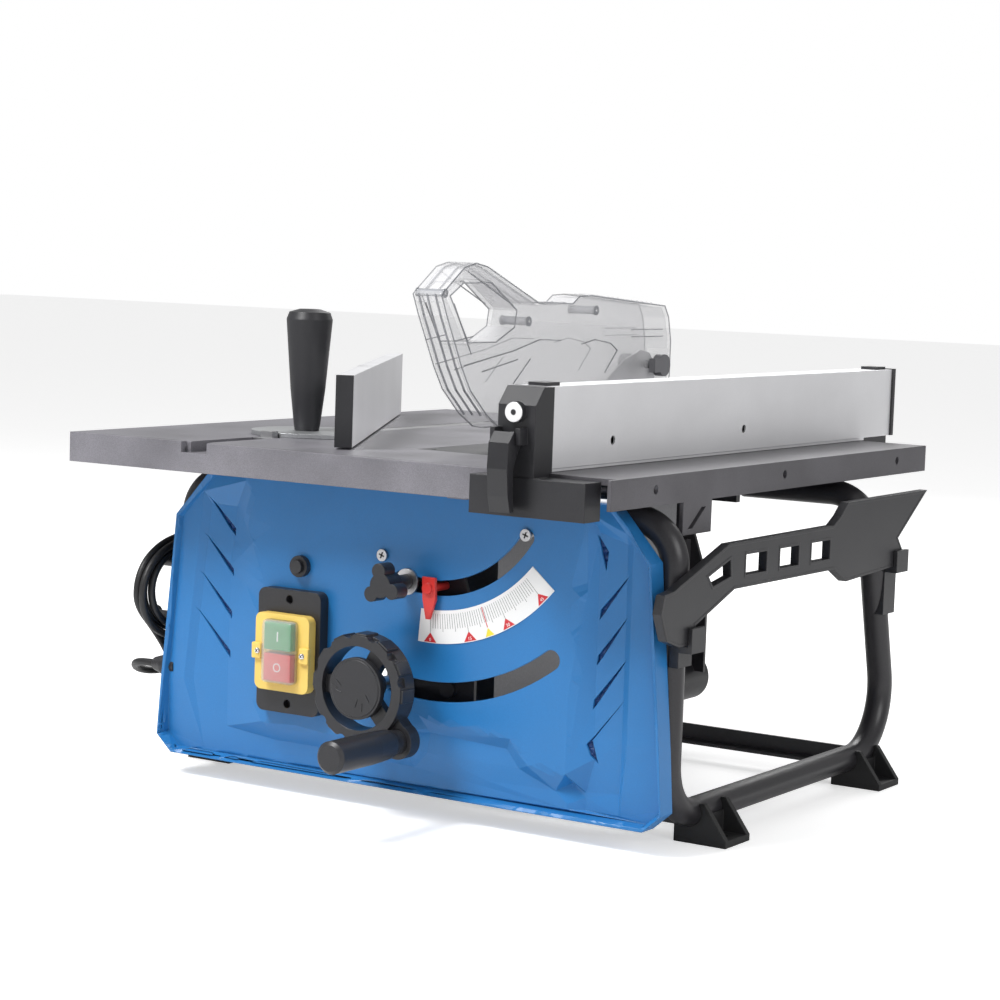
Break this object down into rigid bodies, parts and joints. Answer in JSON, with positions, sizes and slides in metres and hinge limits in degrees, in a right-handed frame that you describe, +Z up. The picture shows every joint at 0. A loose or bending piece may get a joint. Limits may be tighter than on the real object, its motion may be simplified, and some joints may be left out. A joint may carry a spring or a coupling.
{
  "type": "table saw",
  "caption": "Bench table saw on a tube stand: tilting, lifting blade with guard, rip fence, sliding side table, miter gauge, switch and push stick.",
  "frame": {"origin": "centre of the four bench bolt holes, on the floor", "axes": "+Z up, +X to the right of the operator, +Y away from the operator towards the outfeed side"},
  "size_m": [0.6472, 0.7913, 0.504],
  "materials": {
    "panel_blue": "satin",
    "frame_black": "satin",
    "table_dark": "satin",
    "insert_metal": "satin",
    "black_plastic": "matte",
    "foot_rubber": "matte",
    "steel": "brushed",
    "chrome": "polished",
    "cast": "cast",
    "motor_iron": "satin",
    "armature": "plain",
    "shroud_metal": "satin",
    "yellow_plastic": "satin",
    "clear_plastic": "clear",
    "green_plastic": "satin",
    "red_plastic": "satin",
    "scale_plate": "satin",
    "fence_metal": "anodised",
    "belt_rubber": "matte",
    "cord_rubber": "matte",
    "brass": "plain",
    "guard_clear": "clear"
  },
  "bodies": {
    "stand": {"side_frame_left": "frame_black", "side_frame_right": "frame_black", "cross_bars": "frame_black", "feet": "foot_rubber", "front_panel": "panel_blue", "panel_screws": "steel", "table_top": "table_dark", "table_insert": "insert_metal", "trunnions": "frame_black", "tilt_scale": "scale_plate", "switch_plate": "black_plastic", "switch_bezel": "yellow_plastic", "switch_cover": "clear_plastic", "cord_gland": "black_plastic", "cord_lead": "cord_rubber", "cord_coil": "cord_rubber", "power_plug": "black_plastic", "cord_hooks": "black_plastic", "stick_clip_front": "black_plastic", "stick_clip_rear": "black_plastic"},
    "tilt_carriage": {"swing_frame": "frame_black", "blade_shroud": "shroud_metal", "dust_port": "black_plastic", "lift_guides": "steel", "tilt_pointer": "red_plastic", "lock_stud": "steel"},
    "lift_carriage": {"lift_carriage": "cast", "lift_nut": "brass", "motor_housing": "motor_iron", "motor_end_cap": "black_plastic", "drive_belt": "belt_rubber", "riving_knife": "steel"},
    "blade": {"saw_blade": "steel", "arbor_shaft": "steel", "flange_and_nut": "steel", "arbor_pulley": "cast"},
    "rotor": {"motor_rotor": "armature"},
    "handwheel": {"handwheel": "black_plastic", "handwheel_shaft": "steel"},
    "crank_grip": {"crank_grip": "black_plastic"},
    "lift_screw": {"lift_screw": "steel"},
    "lock_knob": {"lock_knob": "black_plastic"},
    "start_button": {"start_button": "green_plastic"},
    "stop_button": {"stop_button": "red_plastic"},
    "reset_button": {"reset_button": "black_plastic"},
    "rip_fence": {"rip_fence_rail": "fence_metal", "fence_head": "black_plastic", "fence_clamp_rear": "black_plastic"},
    "fence_lever": {"fence_lever": "black_plastic"},
    "extension": {"extension_table": "table_dark", "guide_tubes": "chrome"},
    "miter_slide": {"miter_bar": "steel"},
    "miter_gauge": {"miter_head": "cast", "miter_fence": "fence_metal", "miter_end_cap": "black_plastic"},
    "miter_handle": {"miter_handle": "black_plastic"},
    "guard": {"blade_guard": "guard_clear", "guard_knob": "black_plastic"},
    "push_stick": {"push_stick": "black_plastic"}
  },
  "joints": [
    {"name": "blade_tilt", "type": "hinge", "parent": "stand", "child": "tilt_carriage", "pos_m": [0.0375, -0.3235, 0.33], "axis": [0, -1, 0], "range_deg": [0, 45]},
    {"name": "blade_lift", "type": "slide", "parent": "tilt_carriage", "child": "lift_carriage", "axis": [0, 0, 1], "range_m": [0, 0.08]},
    {"name": "blade_spin", "type": "hinge", "parent": "lift_carriage", "child": "blade", "pos_m": [0.0235, -0.0385, 0.1995], "axis": [1, 0, 0], "continuous": true},
    {"name": "motor_spin", "type": "hinge", "parent": "lift_carriage", "child": "rotor", "pos_m": [-0.0925, 0.0365, 0.1795], "axis": [1, 0, 0], "continuous": true},
    {"name": "handwheel_turn", "type": "hinge", "parent": "tilt_carriage", "child": "handwheel", "pos_m": [-0.0045, -0.3035, 0.122], "axis": [0, 1, 0], "range_deg": [0, 3601]},
    {"name": "lift_screw_turn", "type": "hinge", "parent": "tilt_carriage", "child": "lift_screw", "pos_m": [-0.0045, -0.0935, 0.23], "axis": [0, 0, 1], "range_deg": [0, 3601]},
    {"name": "crank_grip_spin", "type": "hinge", "parent": "handwheel", "child": "crank_grip", "pos_m": [0.03642, -0.3175, 0.07812], "axis": [0, 1, 0], "continuous": true},
    {"name": "lock_knob_turn", "type": "hinge", "parent": "tilt_carriage", "child": "lock_knob", "pos_m": [0.01096, -0.2935, 0.21502], "axis": [0, 1, 0], "range_deg": [0, 270]},
    {"name": "start_press", "type": "slide", "parent": "stand", "child": "start_button", "axis": [0, 1, 0], "range_m": [0, 0.004], "stiffness_N_per_m": 500, "springref_m": -0.002},
    {"name": "stop_press", "type": "slide", "parent": "stand", "child": "stop_button", "axis": [0, 1, 0], "range_m": [0, 0.004], "stiffness_N_per_m": 500, "springref_m": -0.002},
    {"name": "reset_press", "type": "slide", "parent": "stand", "child": "reset_button", "axis": [0, 1, 0], "range_m": [0, 0.003], "stiffness_N_per_m": 500, "springref_m": -0.002},
    {"name": "fence_slide", "type": "slide", "parent": "stand", "child": "rip_fence", "axis": [1, 0, 0], "range_m": [-0.09, 0.012]},
    {"name": "fence_lever_lift", "type": "hinge", "parent": "rip_fence", "child": "fence_lever", "pos_m": [0.1725, -0.3555, 0.3605], "axis": [-1, 0, 0], "range_deg": [0, 85]},
    {"name": "extension_slide", "type": "slide", "parent": "stand", "child": "extension", "axis": [1, 0, 0], "range_m": [0, 0.12]},
    {"name": "miter_slide", "type": "slide", "parent": "stand", "child": "miter_slide", "axis": [0, 1, 0], "range_m": [-0.09, 0.135]},
    {"name": "miter_turn", "type": "hinge", "parent": "miter_slide", "child": "miter_gauge", "pos_m": [-0.1905, -0.1515, 0.33], "axis": [0, 0, 1], "range_deg": [0, 120]},
    {"name": "miter_handle_turn", "type": "hinge", "parent": "miter_gauge", "child": "miter_handle", "pos_m": [-0.1905, -0.1515, 0.39], "axis": [0, 0, 1], "range_deg": [0, 270]},
    {"name": "guard_lift", "type": "hinge", "parent": "lift_carriage", "child": "guard", "pos_m": [0.0375, 0.1085, 0.406], "axis": [-1, 0, 0], "range_deg": [0, 40]},
    {"name": "push_stick_lift", "type": "slide", "parent": "stand", "child": "push_stick", "axis": [0, 0, 1], "range_m": [0, 0.03]}
  ],
  "couplings": [
    {"joint": "motor_spin", "follows": "blade_spin", "ratio": 3.3333},
    {"joint": "handwheel_turn", "follows": "blade_lift", "rad_per_m": 785.4},
    {"joint": "lift_screw_turn", "follows": "blade_lift", "rad_per_m": 785.4}
  ]
}
